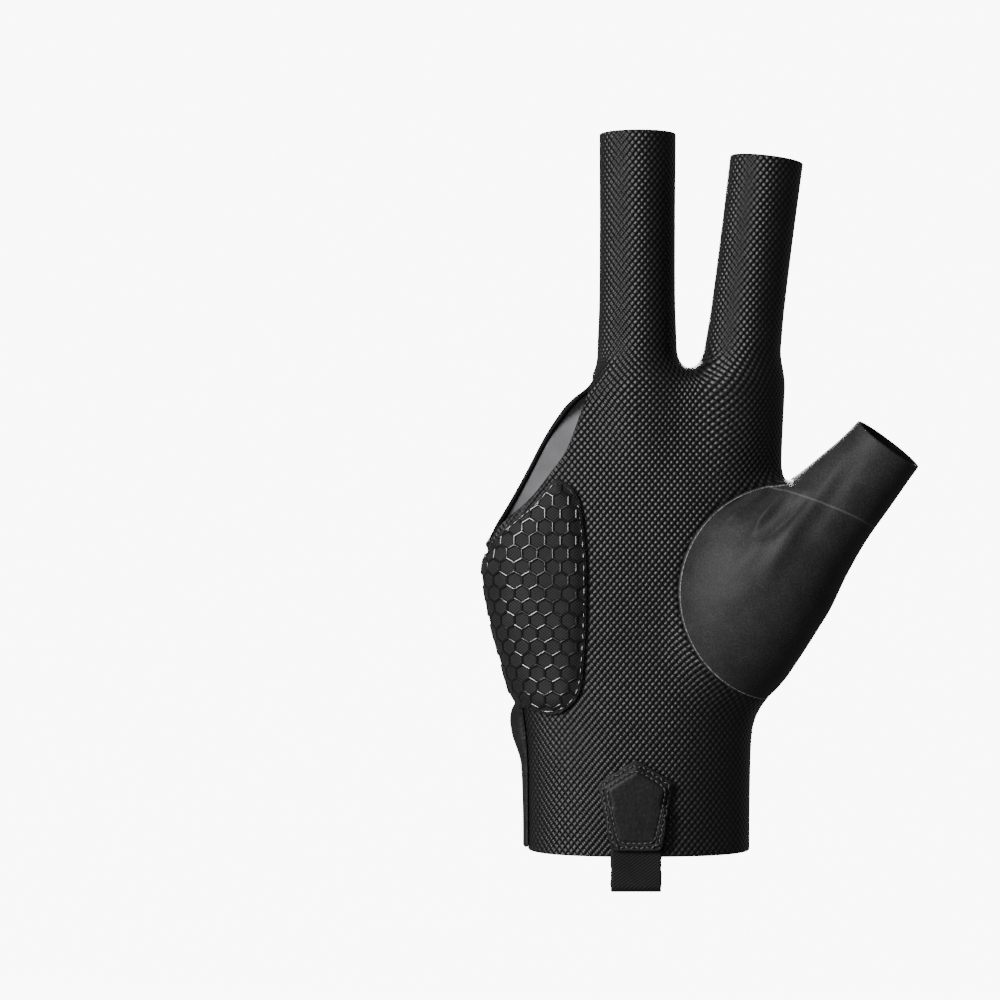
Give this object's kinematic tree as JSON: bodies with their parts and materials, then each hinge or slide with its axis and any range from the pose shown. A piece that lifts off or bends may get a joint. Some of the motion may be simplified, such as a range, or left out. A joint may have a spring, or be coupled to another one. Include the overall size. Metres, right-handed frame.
{
  "type": "billiard glove",
  "caption": "Open-tipped right-hand billiard glove in its worn form, with a knit palm, honeycomb grip pad, smooth back and thumb, and a hook-and-loop wrist tab.",
  "frame": {"origin": "middle of the wrist opening, level with the hem", "axes": "+Z towards the fingertips, -Y out of the palm, +X towards the thumb"},
  "size_m": [0.1258, 0.0522, 0.2194],
  "materials": {
    "knit": "open diamond knit",
    "lycra": "smooth stretch knit, soft sheen",
    "microfibre": "smooth brushed microfibre",
    "binding": "folded tape",
    "silicone": "cloth with glossy silicone print",
    "leatherette": "matte synthetic leather",
    "hook": "hook-and-loop",
    "webbing": "flat woven tape"
  },
  "bodies": {
    "root": {"palm_panel": "knit", "back_panel": "lycra", "cuff_panel": "lycra", "thumb_piece": "microfibre", "opening_binding": "binding", "grip_pad": "silicone", "strap_base": "leatherette", "hook_patch": "hook", "closure_tab": "leatherette", "pull_loop": "webbing", "loop_patch": "leatherette"}
  },
  "joints": []
}
